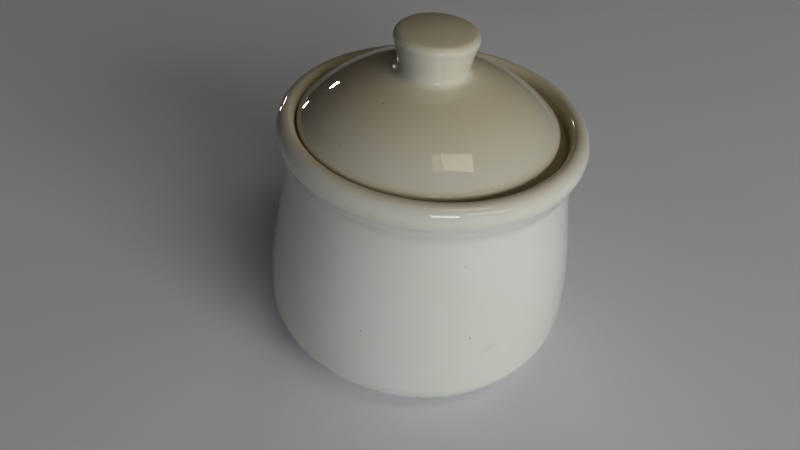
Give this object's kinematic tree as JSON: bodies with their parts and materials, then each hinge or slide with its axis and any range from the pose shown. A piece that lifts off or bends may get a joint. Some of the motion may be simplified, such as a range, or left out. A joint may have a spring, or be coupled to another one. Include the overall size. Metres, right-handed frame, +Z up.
{
  "type": "lidded ceramic pot",
  "caption": "Cream glazed ceramic pot for small contents, with a rolled rim, a bellied body and a domed, knobbed lid that lifts off a ledge inside the rim.",
  "frame": {"origin": "centre of the foot ring, on the surface that the pot stands on", "axes": "+Z up along the pot's axis, -Y the front; the pot is turned, so its front is a free choice: it is the side towards the viewer"},
  "size_m": [0.1152, 0.1152, 0.1223],
  "materials": {
    "glaze": "gloss"
  },
  "bodies": {
    "pot": {"pot": "glaze"},
    "lid": {"lid": "glaze"}
  },
  "joints": [
    {"name": "lid_lift", "type": "slide", "parent": "pot", "child": "lid", "axis": [0, 0, 1], "range_m": [0, 0.09]}
  ]
}
